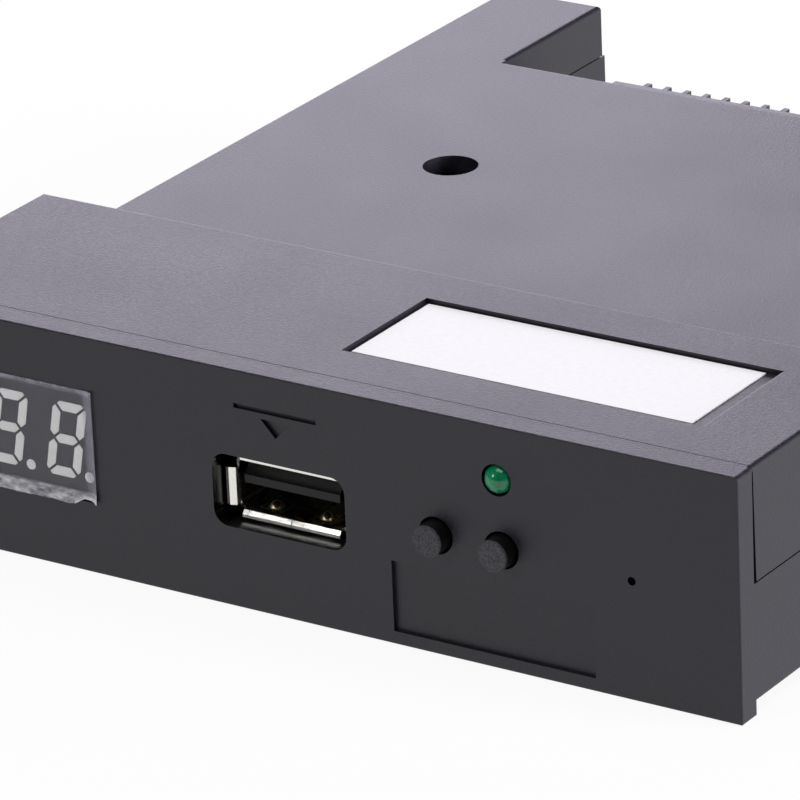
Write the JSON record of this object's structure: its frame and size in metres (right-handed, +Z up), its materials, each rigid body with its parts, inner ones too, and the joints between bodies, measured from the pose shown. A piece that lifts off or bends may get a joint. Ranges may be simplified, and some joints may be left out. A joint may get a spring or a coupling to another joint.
{
  "type": "floppy drive emulator",
  "caption": "Black plastic floppy drive emulator for a 3.5 inch bay, with a USB port, digit display, push buttons, stepped cover and rear pin headers in a notch between two arms.",
  "frame": {"origin": "middle of the part's footprint, at the height of the bezel's lower edge", "axes": "+X to the right seen from the front, +Y from the bezel to the rear arms, +Z up"},
  "size_m": [0.1016, 0.1228, 0.0254],
  "materials": {
    "case_plastic": "fine spark-eroded grain",
    "label_paper": "smooth white",
    "board_laminate": "green solder mask on glass-epoxy laminate",
    "zinc_steel": "zinc plated",
    "nickel_steel": "bright nickel plate",
    "black_plastic": "moulded, satin",
    "gold_plate": "gold flash over nickel",
    "display_plastic": "dark grey face",
    "segment_resin": "milky epoxy",
    "clear_film": "clear protective film",
    "tinned_wire": "tin plated",
    "chip_epoxy": "moulded epoxy",
    "green_epoxy": "tinted clear epoxy",
    "button_plastic": "moulded, satin",
    "can_aluminium": "drawn can",
    "chip_ceramic": "fired ceramic",
    "ivory_nylon": "natural nylon",
    "blue_nylon": "moulded, satin"
  },
  "bodies": {
    "case": {"base_shell": "case_plastic", "top_cover": "case_plastic", "cover_label": "label_paper", "main_board": "board_laminate", "board_screws": "zinc_steel", "usb_shell": "nickel_steel", "usb_insulator": "black_plastic", "usb_contacts": "gold_plate", "display_housing": "display_plastic", "display_segments": "segment_resin", "display_film": "clear_film", "display_legs": "tinned_wire", "display_board": "board_laminate", "display_driver": "chip_epoxy", "link_block": "black_plastic", "link_pins": "gold_plate", "led_lens": "green_epoxy", "led_leads": "tinned_wire", "led_holder": "black_plastic", "left_switch_body": "black_plastic", "right_switch_body": "black_plastic", "left_switch_plate": "nickel_steel", "right_switch_plate": "nickel_steel", "left_switch_dome": "nickel_steel", "right_switch_dome": "nickel_steel", "switch_legs": "tinned_wire", "controller_chip": "chip_epoxy", "controller_leads": "tinned_wire", "crystal_can": "nickel_steel", "regulator": "chip_epoxy", "buffer_chips": "chip_epoxy", "capacitor_cans": "can_aluminium", "capacitor_bases": "black_plastic", "chip_resistors": "chip_epoxy", "chip_capacitors": "chip_ceramic", "serial_block": "black_plastic", "serial_pins_row": "gold_plate", "data_block": "black_plastic", "data_pins": "tinned_wire", "power_block": "ivory_nylon", "power_pins_row": "tinned_wire", "jumper_block": "black_plastic", "jumper_pins": "gold_plate"},
    "left_button": {"left_button": "button_plastic"},
    "right_button": {"right_button": "button_plastic"},
    "shunt": {"jumper_shunt": "blue_nylon"}
  },
  "joints": [
    {"name": "left_button_press", "type": "slide", "parent": "case", "child": "left_button", "axis": [0, 1, 0], "range_m": [0, 0.00025], "stiffness_N_per_m": 6000},
    {"name": "right_button_press", "type": "slide", "parent": "case", "child": "right_button", "axis": [0, 1, 0], "range_m": [0, 0.00025], "stiffness_N_per_m": 6000},
    {"name": "jumper_pull", "type": "slide", "parent": "case", "child": "shunt", "axis": [0, 0, 1], "range_m": [0, 0.0065]}
  ]
}
